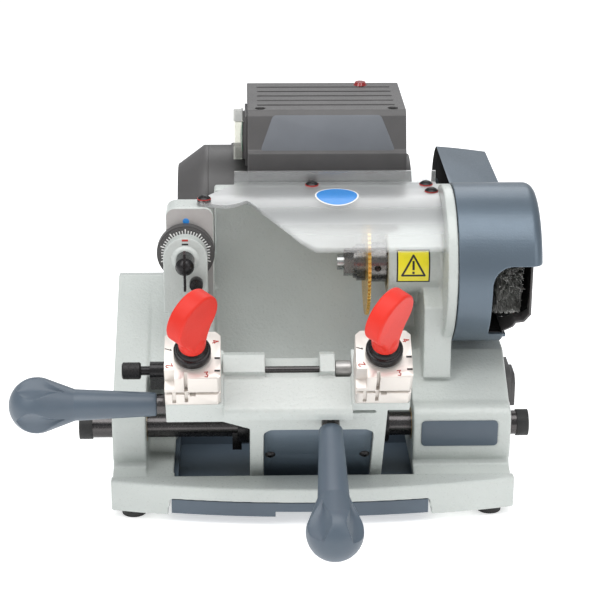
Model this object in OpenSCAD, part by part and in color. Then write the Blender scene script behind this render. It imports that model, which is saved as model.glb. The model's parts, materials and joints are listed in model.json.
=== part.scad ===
// Bench copying machine: a blade tracer (left) and a cutter disc (right) behind a carriage
// with two clamps, which leans forward about a shaft along X. A motor at the rear drives the
// spindle by belt. X runs left to right, Y away from the operator and Z up. The footprint
// is centred on the origin and the feet stand on Z = 0.

/* [Shaft and spindle] */
// carriage shaft diameter
shaft_d = 18; // [16:0.5:20]
// carriage shaft length without its end caps
shaft_len = 320; // [316:1:324]
// running clearance on the radius of every moving fit
fit = 0.05; // [0.02:0.01:0.08]
// cutter disc diameter
cutter_d = 80; // [70:1:80]
// cutter disc thickness
cutter_t = 2.4; // [2:0.1:2.4]

/* [Carriage] */
// forward lean of the carriage at rest, degrees
rest_lean = 32; // [31:0.5:33]
// clamp jaw size along the shaft
jaw_w = 39; // [36:0.5:39]
// upper jaw height
jaw_h = 18.9; // [17:0.1:18.9]
// wing knob reach above the jaw stack
wing_h = 62; // [50:1:62]

/* [Handles] */
// handle length from neck to ball end
handle_len = 104.5; // [95:0.5:106]
// handle ball diameter
ball_d = 40; // [34:1:40]

/* [Feet] */
// rubber foot diameter
foot_d = 18; // [16:1:20]
// rubber foot height
foot_h = 13; // [13:1:13]

/* [Hidden] */
$fn = 64;
// axes along X, as [y, z]
shaft = [-50,45];
spindle = [-8,160];
motor = [115,163];
// axis along Y, as [x, z]
tracer = [-94,170.5];

// casting
body_left = -149;
body_right = 148;
base_z = 8; // underside
foot_xs = [-133,131];
foot_ys = [-94,135];
bush_spans = [[body_left,-124],[75,body_right]];
bush_d = 24;
bearing_d = 35;
lip_r = 657; // bowed front lip
lip_y = -121; // foremost point of the lip
badge = [109.5,48.3]; // centre, as [x, z]

// shaft, spindle and drive
shaft_left = -165;
shaft_right = shaft_left + shaft_len;
spindle_d = 15;
spindle_tip_d = 12;
motor_shaft_d = 14;
spindle_pulley_d = 40;
motor_pulley_d = 52;
cutter_right = 43.4; // face against the inner collar
cutter_left = cutter_right - cutter_t;
tracer_d = 13.7;
drum_face = 160;
drum_round = 8;
belt_cover_r = 50;

// carriage frame: origin on the shaft axis, Z along the clamp axes
clamp_xs = [-86.7,46.5];
clamp_y = -25;
jaw_seat = 94.6;
lower_jaw_h = 12.4;
upper_jaw_z = jaw_seat + lower_jaw_h + 0.6;
washer_z = upper_jaw_z + jaw_h;
stud_d = 8;
gauge = [-11,88]; // gauge rod axis, as [y, z]
gauge_d = 5;
left_axis = [-36.5,83]; // left handle, as [y, z]
left_neck_x = -112.8;
front_axis = [10.4,72]; // front handle, as [x, z]
front_neck_y = -51.2;
ball_centre = handle_len - ball_d/2;

// ends of the footprint, whose middle moves to the origin
left_end = left_neck_x - handle_len;
right_end = drum_face + drum_round;
front_end = shaft[0] + (front_neck_y - ball_centre)*cos(rest_lean)
  - front_axis[1]*sin(rest_lean) - ball_d/2;
rear_end = motor[0] + belt_cover_r;
shift = [-(left_end + right_end)/2, -(front_end + rear_end)/2, foot_h - base_z];

grey = [0.78,0.80,0.78];
bluegrey = [0.37,0.43,0.49];
dark = [0.2,0.2,0.2];
black = [0.07,0.07,0.07];
steel = [0.7,0.7,0.7];
nickel = [0.88,0.85,0.8];
red = [0.85,0.2,0.15];

// ---------- helpers ----------
// bore that runs on a shaft of diameter d
function running(d) = d + 2*fit;
// children's Z turned to +X, on an axis [y, z]
module along_x(x, axis) translate([x,axis[0],axis[1]]) rotate([0,90,0]) children();
// children's Z turned to -Y, on an axis [x, z]
module along_y(y, axis) translate([axis[0],y,axis[1]]) rotate([90,0,0]) children();
// cylinders between two planes
module rod_x(x0, x1, axis, d) along_x(x0, axis) cylinder(d = d, h = x1 - x0);
module rod_y(y0, y1, axis, d) along_y(y1, axis) cylinder(d = d, h = y1 - y0);
module rod_z(z0, z1, axis, d) translate([axis[0],axis[1],z0]) cylinder(d = d, h = z1 - z0);
module tube_x(x0, x1, axis, d, bore) difference() {
  rod_x(x0, x1, axis, d);
  rod_x(x0 - 1, x1 + 1, axis, bore);
}
// [y, z] outline extruded between two X planes
module slab_x(x0, x1) translate([x0,0,0]) rotate([90,0,90]) linear_extrude(x1 - x0) children();
// [x, z] outline extruded between two Y planes
module slab_y(y0, y1) translate([0,y1,0]) rotate([90,0,0]) linear_extrude(y1 - y0) children();
module block(corner, size) translate(corner) cube(size);
module rounded_rect(w, d, r) {
  square([w - 2*r, d], center = true);
  square([w, d - 2*r], center = true);
  for (i = [-1,1], j = [-1,1]) translate([i*(w/2 - r), j*(d/2 - r)]) circle(r);
}
// domed screw head: a disc of size [radius, height] cut from a sphere sunk below it
module dome(sink, r, size) rotate_extrude() intersection() {
  translate([0,-sink]) circle(r);
  square(size);
}
// carriage frame to machine frame
module leaned() translate([0,shaft[0],shaft[1]]) rotate([rest_lean,0,0]) children();

// ---------- casting ----------
// guard sheet screws, as [x, y, z of the shank's lower end]
shield_screw_ends = [[-80,-1,197],[2.2,33,201],[90,33,201],[92.5,15.5,197]];

module body_casting() color(grey) union() {
  casting();
  tray_rails();
}
module casting() difference() {
  union() {
    front_lip();
    foot_skirt();
    shoulders();
    slab_x(-105,105) back_wall_outline();
    // rear housing
    slab_x(body_left, body_right)
      polygon([[10,8],[150,8],[150,86],[146,92],[52,92],[52,60],[10,60]]);
    tracer_column();
    spindle_head();
  }
  casting_cuts();
}
module lip_circle() translate([0,lip_y + lip_r]) circle(lip_r, $fn = 900);
module front_lip() intersection() {
  translate([0,0,base_z]) linear_extrude(20) intersection() {
    translate([body_left,-125]) square([body_right - body_left,50]);
    lip_circle();
  }
  slab_x(body_left, body_right)
    polygon([[-130,8],[-130,25.5],[-97,25.5],[-88,18.5],[-76,18.5],[-76,8]]);
}
// skirt around the front feet
module foot_skirt() difference() {
  translate([0,0,1]) linear_extrude(7.5) intersection() {
    union() {
      translate([body_left,-125]) square([42,47]);
      translate([86,-125]) square([62,47]);
    }
    lip_circle();
  }
  for (x = foot_xs) rod_z(0,8,[x,foot_ys[0]],22);
}
// rounded front of a shaft boss
module boss_outline() {
  translate([-64,56]) circle(12);
  translate([-64,34]) circle(12);
  translate([-76,34]) square([30,22]);
  translate([-64,22]) square([20,46]);
}
module shoulders() {
  // left boss, shoulder and its inner steps
  slab_x(body_left,-124) {
    boss_outline();
    polygon([[-50,8],[-88,8],[-88,18.5],[-74,22],[-62,67],[48,130],[60,128],[70,92],[70,8]]);
  }
  slab_x(-125,-104) polygon([[-50,8],[-90,8],[-88,18.5],[9,18.5],[9,8]]);
  slab_x(-126,-72.5) difference() {
    polygon([[-36,80],[48,130],[60,128],[70,92],[70,8],[-10,8],[-10,60]]);
    translate(shaft) circle(26);
  }
  // right boss and shoulder
  slab_x(75,body_right) {
    boss_outline();
    polygon([[-50,8],[-88,8],[-88,18.5],[-74,22],[-62,67],[-17,92],[70,92],[70,8]]);
  }
}
// concave wall behind the trough
module back_wall_outline() {
  bow_centre = [-110,150];
  intersection() {
    difference() {
      translate(bow_centre) circle(158, $fn = 240);
      translate(bow_centre) circle(150, $fn = 240);
    }
    translate([-20,58]) square([80,146]);
  }
  difference() {
    translate([20,199]) square([24,7]);
    translate(bow_centre) circle(150, $fn = 240);
  }
  translate([8,12]) square([9,50]);
}
module tracer_column() {
  block([-109,-9,60],[36,42,136]);
  // rounded top
  intersection() {
    slab_y(-9,33) translate([-91,170]) rounded_rect(36,68,7);
    block([-140,-9,180],[100,42,40]);
  }
}
module spindle_head() {
  rod_x(57,105.9,spindle,46);
  rod_x(98,105.9,spindle,118);
  slab_x(84,105)
    polygon([[-46,80],[-42,135],[-20,150],[20,190],[30,190],[38,90],[38,80]]);
  slab_x(66,99) polygon([[-22,150],[-22,172],[10,196],[34,196],[36,126],[20,116]]);
  // screw post of the guard sheet
  block([86,10,190],[12,11,16]);
}
module casting_cuts() {
  // trough opening to the chip tray, short of the back wall's foot
  difference() {
    block([-103,-88,8.5],[178,98,60]);
    slab_x(-126,76) translate([10,8]) square([9,60]);
  }
  block([-102,-88,0],[176,97.9,19]);
  // tray channel
  block([-105.5,-130,0],[190,139.9,14.2]);
  // rear hollow, around the rear foot posts
  difference() {
    block([-141,26,-1],[281,116,85]);
    for (x = [-132,132]) rod_z(0,90,[x,foot_ys[1]],21);
  }
  block([-141,20,-1],[32,30,60]);
  block([96,20,-1],[44,30,60]);
  // shaft, spindle and tracer bores
  for (span = bush_spans) rod_x(span[0] - 1, span[1] + 1, shaft, bush_d);
  rod_x(56,107,spindle,bearing_d);
  rod_y(-10,34,tracer,running(tracer_d));
  // clearance behind the tracer column
  block([-112,13,150],[39,50,60]);
  // badge pad
  slab_y(-78.2,-75.2) translate(badge) rounded_rect(57.4,20.4,3);
  // guard sheet screw holes
  for (p = shield_screw_ends) rod_z(p[2] - 1, p[2] + 11, p, 4.1);
  // inlet pocket
  block([144,-4,38],[8,30,24]);
}
module tray_rails() for (x = [-106,81.6]) block([x,-96,8],[2.8,98,2.3]);
module rubber_feet() color(black)
  for (x = foot_xs, y = foot_ys) translate([x,y,base_z - foot_h]) difference() {
    cylinder(d = foot_d, h = foot_h);
    translate([0,0,-1]) cylinder(d = 9, h = 6);
    translate([0,0,4]) cylinder(d = 5, h = 15);
  }
module shaft_bushes() color(steel)
  for (span = bush_spans) tube_x(span[0], span[1], shaft, bush_d, running(shaft_d));
module spindle_bearings() color(steel)
  for (x = [60,90]) tube_x(x, x + 11, spindle, bearing_d, running(spindle_d));
module badge_plate() color(bluegrey)
  slab_y(-76.6,-75.2) translate(badge) rounded_rect(57,20,3);

// ---------- motor ----------
rib_angles = [-70,-50,30,50,70,90,110,130,150,210,230,250];

module motor_housing() color(dark) difference() {
  union() {
    rod_x(-78,60,motor,104);
    rod_x(-60,-47,motor,107);
    rod_x(60,84,motor,88);
    rod_x(84,96,motor,40);
    for (a = rib_angles)
      translate([-40,motor[0],motor[1]]) rotate([a,0,0]) cube([70,54.5,2]);
  }
  rod_x(-79,58,motor,90);
  rod_x(57,80,motor,78);
  rod_x(70,97,motor,running(motor_shaft_d));
}
module motor_end_cover() color(dark) along_x(-103, motor) difference() {
  // [radius, height] profiles
  rotate_extrude()
    polygon([[0,0],[36.5,0],[52,21],[52,25],[44.9,25],[44.9,30],[42,30],[42,25],[0,25]]);
  translate([0,0,3]) rotate_extrude() polygon([[0,0],[32,0],[42,18],[42,28],[0,28]]);
  // slots
  for (a = [0:30:330]) rotate(a) translate([16,-2,-1]) cube([14,4,6]);
}
module motor_foot() color(dark) difference() {
  block([-44,80,92],[80,70,30]);
  rod_x(-90,90,motor,109.2);
  block([-36,88,80],[64,54,34]);
}

// ---------- control box ----------
box_screw_xs = [-37,67];
box_screw_y = 78.8;
lens = [45.7,151]; // as [x, y]

module control_box() color(dark) difference() {
  slab_x(-47,77) polygon([[58,204],[58,226],[61,228],[70,253],
    [74,257],[158,257],[163,252],[163,204]]);
  slab_x(-44,74) polygon([[61,203],[61,225],[64,227],[73,250],
    [76,254],[156,254],[160,250],[160,203]]);
  // slots in the lid
  for (i = [0:4]) block([-39,87 + 14*i,250],[108,3,10]);
  for (x = box_screw_xs) {
    rod_z(240,260,[x,box_screw_y],4.2);
    rod_z(252.5,260.5,[x,box_screw_y],8);
  }
  rod_z(250,260,lens,9);
  rod_x(-60,90,motor,107.4);
  // switch opening
  block([-50,76,220],[7,32,24]);
}
module control_box_base() color(dark) difference() {
  block([-43.5,61.5,206],[117,98,3]);
  rod_x(-60,90,motor,109.4);
}
module box_screws() color(black) for (x = box_screw_xs) {
  rod_z(242,253,[x,box_screw_y],4.2);
  rod_z(252.5,255.5,[x,box_screw_y],7.4);
}
module indicator_lens() color([0.6,0.05,0.05]) {
  rod_z(252,257,lens,9);
  translate([lens[0],lens[1],257]) cylinder(d1 = 11, d2 = 8, h = 2.6);
  rod_z(251,253,lens,7);
}
module switch_plate() color(black) difference() {
  union() {
    block([-49,72,212],[2,40,40]);
    block([-51,75,217],[2,34,30]);
    block([-49,76.2,220.2],[5,31.6,23.6]);
  }
  block([-52,79,221],[9,26,22]);
  rod_x(-60,-40,motor,107.8);
}
module rocker_switch() color([0.04,0.6,0.45]) difference() {
  slab_y(79.5,104.5) translate([-48,232])
    polygon([[-4.6,1],[-3.2,10.6],[3,10.6],[3,-10.6],[-3.2,-10.6],[-4.6,-1]]);
  rod_y(77,107,[-48,232],3);
}
module switch_flap() color([0.9,0.9,0.85,0.5]) difference() {
  union() {
    block([-58,74,217],[6.8,36,31]);
    rod_y(74,110,[-51.2,248],1.6);
  }
  block([-56.6,75.4,216],[6,33.2,30.6]);
}
module power_inlet() color(black) difference() {
  union() {
    block([144,-3.9,38.1],[4,29.8,23.8]);
    slab_x(148,157) polygon([[-8,36],[-8,64],[-2,68],[24,68],[30,62],[30,36]]);
    slab_x(157,161) polygon([[-4,38],[-4,58],[2,63],[20,63],[26,58],[26,38]]);
  }
  block([152,2,44],[10,18,12]);
}

// ---------- shield: the clear guard sheet ----------
shield_bend = [10,133.5]; // bend centre, as [y, z]
washer_top = 209.3;
// plan outline of the sheet, as [x, y]
shield_plan = [
  [-80,4.5],[-77.9,6.2],[-68.3,20.9],[-58.4,33.5],[-57.5,36],[-57,50],
  [97.9,50],[97.9,-44.9],[92.7,-45.9],[9,-45.7],[4.6,-45.4],[-0.5,-43.9],
  [-9.2,-39.7],[-23.6,-28.7],[-36.8,-16.2],[-47.8,-2.4],[-56.1,-7.4],
  [-64.3,-9.5],[-77,-7.2],[-80,-6.5]];

// bent front, flat top and upturned rear edge
module shield_section() difference() {
  union() {
    difference() {
      intersection() {
        translate(shield_bend) circle(75);
        translate([-45,150]) square([55,70]);
      }
      translate(shield_bend) circle(72.5);
    }
    translate([9.9,206]) square([32.6,2.5]);
    translate([40,206]) square([2.5,11]);
  }
}
module shield() color([0.85,0.9,0.95,0.35]) difference() {
  intersection() {
    slab_x(-100,97.9) shield_section();
    translate([0,0,150]) linear_extrude(80) {
      translate([-80,-1]) circle(5.5);
      polygon(shield_plan);
    }
  }
  for (p = shield_screw_ends) rod_z(195,225,p,4.4);
}
module shield_screws() color(black) for (p = shield_screw_ends) {
  rod_z(p[2], washer_top, p, 4);
  translate([p[0],p[1],washer_top]) dome(4, 6.4, [5,3]);
}
module shield_washers() color(red) for (p = shield_screw_ends) difference() {
  rod_z(washer_top - 0.8, washer_top, p, 10.4);
  rod_z(207.5,210.5,p,4.2);
}
// fills the gap between the left screw's seat and the bent sheet
module shield_spacer() color(steel) difference() {
  intersection() {
    rod_z(204,206.4,[-80,-1],9.6);
    slab_x(-100,-60) translate(shield_bend) circle(72.49, $fn = 240);
  }
  rod_z(203,212,[-80,-1],4.2);
}

// ---------- drum and belt covers ----------
module drum_cover() color(bluegrey) difference() {
  union() {
    rod_x(106,drum_face,spindle,120);
    // rounded face
    along_x(drum_face, spindle) rotate_extrude() {
      square([52,drum_round]);
      translate([52,0]) intersection() {
        circle(drum_round);
        square(drum_round);
      }
    }
  }
  rod_x(105,158,spindle,114);
  along_x(157.99, spindle) cylinder(d1 = 114, d2 = 98, h = 6.61);
  // window over the wire brush
  slab_y(-80,-14) {
    translate([145.8,161.3]) circle(14.5);
    translate([131.3,117.5]) square([12,43.8]);
    translate([143,80]) square([33,81.3]);
    translate([145.8,161.3]) square([30.2,14.5]);
  }
  block([150,-80,80],[30,100,60]);
  // opening to the belt space
  block([105,20,spindle[1] - 36],[39.9,60,80]);
  rod_x(160,170,spindle,16);
}
module brush_guard() color(black) difference() {
  intersection() {
    rod_x(128,163,spindle,113.6);
    slab_y(-52.2,-14.2) polygon([[128.5,114],[143,114],[143,118.5],[149.5,124],[151.5,127],
      [157.5,127.8],[162.4,133.5],[162.4,175],[128.5,175]]);
  }
  slab_y(-60,-10) polygon([[130.1,115.6],[141.6,115.6],[141.6,119.3],[148.6,125.3],
    [150.6,128.5],[156.8,129.3],[160.8,134.1],[160.8,180],[130.1,180]]);
  rod_x(120,170,spindle,84);
}
// the cover's two bevels, moved inward by inset
module belt_bevels(inset) {
  translate([109.2,0,209.2 - inset]) rotate([0,11.85,0]) block([-40,-40,0],[130,260,60]);
  translate([150.3 - inset,0,200.6]) rotate([0,-24,0]) block([0,-40,-80],[60,260,160]);
}
module belt_cover() color(bluegrey) difference() {
  slab_x(108,158) difference() {
    union() {
      translate(motor) circle(belt_cover_r);
      translate([20,motor[1] - belt_cover_r]) square([95,2*belt_cover_r]);
    }
    translate(spindle) circle(60.2);
  }
  // hollow
  difference() {
    slab_x(111,155) {
      translate(motor) circle(46.5);
      translate([0,motor[1] - 46.5]) square([115,93]);
    }
    belt_bevels(3.4);
  }
  belt_bevels(0);
  slab_x(100,112) translate(motor) circle(24);
}

// ---------- belt drive ----------
function arc_points(centre, r, start, sweep, n = 48) =
  [for (i = [0:n]) let (t = start + i*sweep/n) centre + r*[cos(t),sin(t)]];
// loop around both pulleys, raised above their rims
function belt_loop(raised) = let (
    r1 = spindle_pulley_d/2 + raised,
    r2 = motor_pulley_d/2 + raised,
    gap = motor - spindle,
    slope = atan2(gap[1], gap[0]),
    half = acos((r1 - r2)/norm(gap)))
  concat(arc_points(spindle, r1, slope + half, 360 - 2*half),
         arc_points(motor, r2, slope - half, 2*half));
module drive_belt() color(black) slab_x(114,124) difference() {
  polygon(belt_loop(2.6));
  polygon(belt_loop(0.15));
}
module pulley(axis, d, bore) difference() {
  union() {
    rod_x(113.5,124.5,axis,d);
    for (x = [112,124.5]) rod_x(x, x + 1.5, axis, d + 4);
  }
  rod_x(111,127,axis,bore);
}
module spindle_pulley() color(steel) pulley(spindle, spindle_pulley_d, spindle_d);
module motor_pulley() color(steel) pulley(motor, motor_pulley_d, motor_shaft_d);
module motor_shaft() color(steel) rod_x(60,128,motor,motor_shaft_d);

// ---------- tracer ----------
lock_screw = [tracer[0] + 8, 152]; // as [x, z]
blade_t = 1.8;
blade_x = tracer[0] - blade_t/2;

module tracer_bracket() color(grey) difference() {
  union() {
    slab_y(-29,-18) translate(tracer) {
      circle(16.5);
      translate([-16.5,-42.5]) square([33,42.5]);
    }
    block([tracer[0] - 15,-18.01,128],[31.5,9.01,18]);
  }
  rod_y(-30,-17,tracer,running(tracer_d));
  rod_y(-30,-20,lock_screw,5);
}
module tracer_lock_screw() color(black) {
  rod_y(-36,-29,lock_screw,10);
  rod_y(-29.01,-21,lock_screw,4.9);
}
module dial_ring() color(black) along_y(-9.4, tracer) difference() {
  union() {
    cylinder(r = 21.7, h = 6.4);
    cylinder(r = 20.4, h = 7.6);
  }
  translate([0,0,-1]) cylinder(d = running(tracer_d), h = 12);
  // 50 marks, every fifth one longer
  for (i = [0:49]) {
    inner_r = i % 5 == 0 ? 16.2 : 17.6;
    rotate(i*7.2) block([-0.3,inner_r,7.2],[0.6,19.5 - inner_r,1]);
  }
}
module tracer_barrel() color(black) difference() {
  union() {
    rod_y(-46,34,tracer,tracer_d);
    // rounded nose
    intersection() {
      translate([tracer[0],-44,tracer[1]]) sphere(d = tracer_d);
      block([tracer[0] - 10,-54,tracer[1] - 10],[20,8.01,20]);
    }
  }
  block([blade_x,-54,tracer[1] - 10],[blade_t,14,20]);
}
module tracer_blade() color(steel) difference() {
  block([blade_x,-48.2,152],[blade_t,8.2,29]);
  rod_x(tracer[0] - 5, tracer[0] + 5, [-14,155], 53);
}

// ---------- spindle ----------
module spindle_shaft() color(steel) difference() {
  union() {
    rod_x(20,160,spindle,spindle_tip_d);
    rod_x(cutter_right,160,spindle,spindle_d);
  }
  tube_x(24.6,25.2,spindle,14,11);
}
module inner_collar() color(dark) difference() {
  rod_x(cutter_right,56.5,spindle,30);
  rod_x(43,57,spindle,spindle_d);
  // cross holes
  rod_z(spindle[1] - 20, spindle[1] + 20, [50,spindle[0]], 5);
  rod_y(-30,12,[50,spindle[1]],5);
}
module cutter() color([0.75,0.58,0.2]) along_x(cutter_left, spindle) difference() {
  cylinder(d = cutter_d, h = cutter_t);
  translate([0,0,-1]) cylinder(d = spindle_tip_d, h = 5);
  // tooth notches
  for (i = [0:71])
    rotate(i*5) translate([cutter_d/2 - 0.9,0,-1]) rotate(25) cube([3,1.7,5]);
}
module outer_flange() color(dark) difference() {
  union() {
    rod_x(34.5,cutter_left,spindle,28);
    rod_x(32,34.5,spindle,24);
  }
  rod_x(31,42,spindle,spindle_tip_d);
}
module spindle_nut() color(dark) difference() {
  along_x(25, spindle) cylinder(d = 22, h = 7, $fn = 6);
  rod_x(24,33,spindle,spindle_tip_d);
}
module wire_brush() color([0.5,0.5,0.48]) difference() {
  union() {
    rod_x(138,158,spindle,80);
    rod_x(134.5,160,spindle,30);
  }
  rod_x(134,161,spindle,spindle_d);
}

// ---------- chip tray ----------
module chip_tray() color(bluegrey) difference() {
  union() {
    // bowed front
    intersection() {
      translate([0,lip_y + lip_r + 1.5,0]) cylinder(r = lip_r, h = 20, $fn = 900);
      block([-104.6,-125,2.5],[188.2,27,11]);
    }
    block([-102.6,-99,2.5],[183.6,103,11]);
    // side flanges
    block([-104.6,-99,10.6],[188.2,103,2.4]);
  }
  block([-100.8,-104,4.5],[180,105,12]);
  // recess under the front edge
  block([-28.5,-126,2],[58,20,4.5]);
}

// ---------- shaft group ----------
module carriage_shaft() color(black) rod_x(shaft_left, shaft_right, shaft, shaft_d);
module shaft_caps() color(black) {
  rod_x(shaft_left - 10, shaft_left, shaft, 20);
  rod_x(shaft_right, shaft_right + 9, shaft, 20);
}
module stop_collars() color(black) {
  difference() {
    union() {
      rod_x(-56,-47.3,shaft,28);
      block([-60,shaft[0] - 10,shaft[1] - 16.5],[7,20,14]);
    }
    rod_x(-61,-46,shaft,shaft_d);
  }
  tube_x(50.9,58,shaft,28,shaft_d);
}

// ---------- carriage, drawn in its own frame ----------
cover_corner_xs = [-29,34];
cover_screw_xs = [-32.1,37.2];

module carriage() color(grey) leaned() difference() {
  union() {
    // hub and cheeks
    rod_x(-47,50.6,[0,0],32);
    for (s = [[-47,-37],[42,50.6]]) slab_x(s[0], s[1])
      polygon([[16,0],[8,70],[-4,82],[-45,82],[-45,0],[-38,-1],[-30,0],[-16,-6]]);
    carriage_apron();
    carriage_ledges();
    carriage_deck();
  }
  // underside of the left ledge
  block([-98,-37,60],[36,60,24]);
  rod_x(-48,51.6,[0,0],running(shaft_d));
  rod_x(-120,30,gauge,running(gauge_d));
  // gauge finger slot
  block([14.1,-19.5,70],[11.5,30,40]);
  // clamp, handle and cover screw holes
  for (x = clamp_xs) rod_z(60,110,[x,clamp_y],stud_d);
  rod_x(-107.3,-93.3,left_axis,stud_d);
  rod_y(-50,-30,front_axis,stud_d);
  for (x = cover_screw_xs) rod_y(-50,-30,[x,23],3);
}
// front wall, open where the cover plate sits, with a thin web behind
module carriage_apron() {
  difference() {
    block([-47,-45,-2.5],[97.6,8,84.5]);
    block([-37,-46,-4],[79,10,57]);
    block([-29,-46,50],[63,10,11]);
    for (x = cover_corner_xs) rod_y(-46,-36,[x,53],16);
  }
  block([-37,-39,0],[79,2,61.5]);
}
module carriage_ledges() {
  block([-106.3,-45,72],[40.8,47,22.6]);
  block([-66,-45,72],[20,47,12]);
  slab_y(-45,2) polygon([[-68,73],[-46,62],[-46,84],[-68,84]]);
  block([24.9,-45,85.3],[41.1,47,9.3]);
  slab_x(42,50.6) polygon([[-45,70],[2,76],[2,86],[-45,86]]);
}
module carriage_deck() {
  // centre deck with rounded nose
  slab_x(-65.5,25.5) {
    polygon([[-20,80],[-20,92],[-46,92],[-46,82],[-40,80]]);
    translate([-46,87]) circle(5);
    polygon([[-51,82.5],[-51,87],[-40,87],[-40,80]]);
  }
  slab_x(-65.5,25.5) polygon([[-20,78],[-20,90],[2,84],[2,76]]);
  // gauge rod ridge and post
  for (s = [[-66,-36],[3,14]]) slab_x(s[0], s[1])
    polygon([[-19,92],[-19,97],[-4,97],[2,92],[2,80],[-19,80]]);
}
module cover_plate() color(bluegrey) leaned() difference() {
  union() {
    block([-36.6,-41.5,-6],[78.2,2.5,59]);
    block([-29,-41.5,50],[63,2.5,10.6]);
    for (x = cover_corner_xs) rod_y(-41.5,-39,[x,53],15.2);
  }
  for (x = cover_screw_xs) rod_y(-56,-36,[x,23],3);
}
module cover_screws() color(black) leaned()
  for (x = cover_screw_xs) along_y(-37.5, [x,23]) difference() {
    union() {
      cylinder(d = 3, h = 4.5);
      translate([0,0,4]) dome(3, 5, [3.8,2]);
    }
    translate([0,0,4.9]) cylinder(d = 2.8, h = 4, $fn = 6);
  }

// ---------- clamps ----------
// jaw outline with its cut corners
module jaw_outline() polygon([
  [-jaw_w/2,-20],[jaw_w/2 - 2.2,-20],[jaw_w/2,-17.8],[jaw_w/2,16.5],
  [jaw_w/2 - 3.5,20],[-jaw_w/2 + 3.5,20],[-jaw_w/2,16.5]]);
// square bar set on edge along each of four sides
module edge_cuts(y, z) for (a = [0:90:270])
  rotate(a) translate([-22,y,z]) rotate([45,0,0]) cube([44,3,3]);
module lower_jaws() color(nickel) leaned()
  for (x = clamp_xs) translate([x,clamp_y,jaw_seat]) difference() {
    linear_extrude(lower_jaw_h) jaw_outline();
    cylinder(d = stud_d, h = 40);
    // spring pocket
    translate([0,0,3.4]) cylinder(d = 14, h = 12);
    // front notches
    block([-5.8,-21,3],[2.5,4,12]);
    block([-14.4,-21,2],[2.6,3,12]);
    edge_cuts(-22, lower_jaw_h);
    // crossed grooves
    block([-22,-2,9],[44,4,5]);
    block([-2,-22,10.4],[4,44,5]);
  }
module clamp_studs() color(steel) leaned()
  for (x = clamp_xs) rod_z(72.2,150.2,[x,clamp_y],stud_d);
module jaw_springs() color(steel) leaned()
  for (x = clamp_xs) translate([x,clamp_y,jaw_seat + 4])
    linear_extrude(7.6, twist = -1080, slices = 48, $fn = 8)
      translate([5.6,0]) circle(0.5, $fn = 8);
module upper_jaw(x) color(nickel) leaned() translate([x,clamp_y,upper_jaw_z]) difference() {
  linear_extrude(jaw_h) jaw_outline();
  translate([0,0,-1]) cylinder(d = running(stud_d), h = 40);
  // front slot and left front step
  block([-5.8,-21,-1],[2.5,6.5,30]);
  block([-jaw_w/2 - 1,-21,6],[8.2,8.5,20]);
  edge_cuts(-20, -1.5);
  // marks on the top
  for (y = [-2.6,-13.2]) block([jaw_w/2 - 4,y - 0.7,jaw_h - 0.4],[5,1.4,2]);
  block([-22,-3,-1],[44,6,2.6]);
}
module upper_jaw_left() upper_jaw(clamp_xs[0]);
module upper_jaw_right() upper_jaw(clamp_xs[1]);
module washer_stack(x) color(black) leaned() translate([x,clamp_y,washer_z]) difference() {
  union() {
    cylinder(d = 26.6, h = 2);
    translate([0,0,2]) cylinder(d = 24, h = 4.4);
    translate([0,0,6.4]) rotate_extrude()
      polygon([[0,0],[10.6,0],[9.8,2.4],[8.4,4.4],[0,4.4]]);
  }
  translate([0,0,-1]) cylinder(d = running(stud_d), h = 40);
}
module washer_stack_left() washer_stack(clamp_xs[0]);
module washer_stack_right() washer_stack(clamp_xs[1]);
module wing_knob(x) color(red) leaned() translate([x,clamp_y,washer_z + 10.85]) difference() {
  union() {
    cylinder(d = 16, h = 14);
    rotate(50) translate([0,0,4]) slab_y(-7.7,5.3) {
      polygon([[-7,-3],[-8.2,5],[-10,11],[-13.6,15.5],[13.6,15.5],[10,11],[8.2,5],[7,-3]]);
      translate([0,wing_h - 32.3]) circle(20);
    }
  }
  translate([0,0,-1]) cylinder(d = running(stud_d), h = 17);
}
module wing_knob_left() wing_knob(clamp_xs[0]);
module wing_knob_right() wing_knob(clamp_xs[1]);

// ---------- handles ----------
// handle along +Z from its neck, its four hollows turned by an angle
module handle(turn) difference() {
  rotate_extrude() intersection() {
    union() {
      translate([0,ball_centre]) circle(ball_d/2);
      polygon([[0,0],[7.6,0],[8.4,0.9],[12,52],[14.2,66],
        [17.6,ball_centre - 7],[0,ball_centre]]);
    }
    square([40,140]);
  }
  for (a = [0:90:270]) rotate(a + turn) translate([38,0,80]) sphere(r = 21);
  translate([0,0,-1]) cylinder(d = stud_d, h = 22);
}
module left_handle() color(bluegrey) leaned()
  translate([left_neck_x,left_axis[0],left_axis[1]]) rotate([0,-90,0]) handle(8);
module front_handle() color(bluegrey) leaned() along_y(front_neck_y, front_axis) handle(38);
module handle_studs() color(black) leaned() {
  rod_x(-131,-95,left_axis,stud_d);
  rod_x(-112.6,-106.3,left_axis,14.4);
  rod_y(-69,-33,front_axis,stud_d);
  rod_y(-51,-45,front_axis,13);
}

// ---------- gauge ----------
module gauge_rod() color(steel) leaned() {
  rod_x(-126,25.2,gauge,gauge_d);
  // fingers
  for (s = [[-118,-108],[14.6,25.2]]) {
    rod_x(s[0], s[1], gauge, 13);
    block([s[0],-15,70],[s[1] - s[0],8,18]);
  }
}
module gauge_knob() color(dark) leaned() difference() {
  union() {
    rod_x(-138,-124.5,gauge,11.6);
    // grip ribs
    for (i = [0:23])
      translate([-137.5,gauge[0],gauge[1]]) rotate([i*15,0,0]) block([0,-0.5,5],[12.5,1,1.3]);
    rod_x(-124.5,-118.2,gauge,6.6);
  }
  rod_x(-126,-118,gauge,gauge_d);
}

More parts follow.
